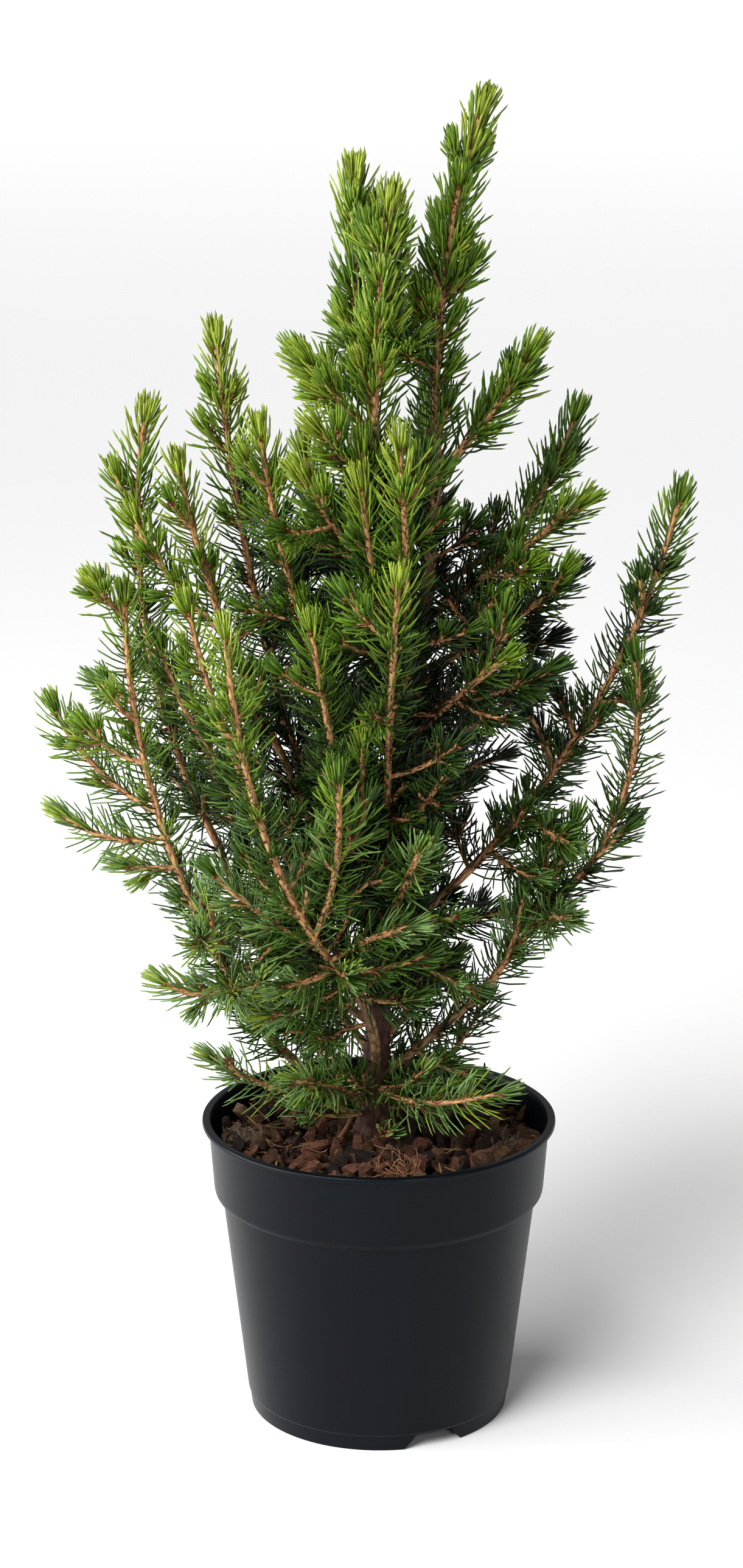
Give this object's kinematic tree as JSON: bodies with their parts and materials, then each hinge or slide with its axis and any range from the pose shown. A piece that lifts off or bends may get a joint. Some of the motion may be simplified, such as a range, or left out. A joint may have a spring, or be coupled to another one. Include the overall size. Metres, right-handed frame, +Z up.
{
  "type": "potted dwarf alberta spruce",
  "caption": "Young many-stemmed dwarf spruce with upswept needled shoots, in a round black nursery pot with a deep collar, topped with red-brown bark mulch.",
  "frame": {"origin": "middle of the flat underside of the pot, at the level that the pot stands on", "axes": "+Z up along the trunk, -Y towards the side that the picture shows, +X to its right"},
  "size_m": [0.2392, 0.1802, 0.4869],
  "materials": {
    "pot_plastic": "satin moulded black polypropylene",
    "bark_mulch": "rough chipped bark",
    "bark": "rough young bark with needle pegs",
    "needles": "satin needles"
  },
  "bodies": {
    "root": {"pot": "pot_plastic", "mulch": "bark_mulch", "trunk": "bark", "leader_right": "bark", "leader_left": "bark", "bough_front": "bark", "bough_left": "bark", "bough_right_upper": "bark", "bough_right_lower": "bark", "bough_left_high": "bark", "bough_left_outer": "bark", "bough_left_middle": "bark", "bough_left_low": "bark", "bough_left_inner": "bark", "bough_back_right": "bark", "bough_back": "bark", "bough_back_left": "bark", "bough_back_low": "bark", "foliage_top_right": "needles", "foliage_top_left_front": "needles", "foliage_top_left_back": "needles", "foliage_right_01": "needles", "foliage_right_02": "needles", "foliage_right_03": "needles", "foliage_right_04": "needles", "foliage_right_05": "needles", "foliage_right_06": "needles", "foliage_right_07": "needles", "foliage_right_upper": "needles", "foliage_right_lower": "needles", "foliage_low_right": "needles", "foliage_low_back_right": "needles", "foliage_inner_right": "needles", "foliage_left": "needles", "foliage_left_outer": "needles", "foliage_left_high": "needles", "foliage_left_middle": "needles", "foliage_left_low": "needles", "foliage_left_inner": "needles", "foliage_front_left": "needles", "foliage_front_high": "needles", "foliage_front": "needles", "foliage_front_inner": "needles", "foliage_left_01": "needles", "foliage_left_02": "needles", "foliage_left_03": "needles", "foliage_front_bough": "needles", "foliage_front_right": "needles", "foliage_front_low": "needles", "foliage_back_lower_right": "needles", "foliage_low_front": "needles", "foliage_low_left": "needles", "foliage_back_right": "needles", "foliage_back": "needles", "foliage_back_left": "needles", "foliage_back_low": "needles", "foliage_back_high_right": "needles", "foliage_back_high_left": "needles", "foliage_low_back_left": "needles"}
  },
  "joints": []
}
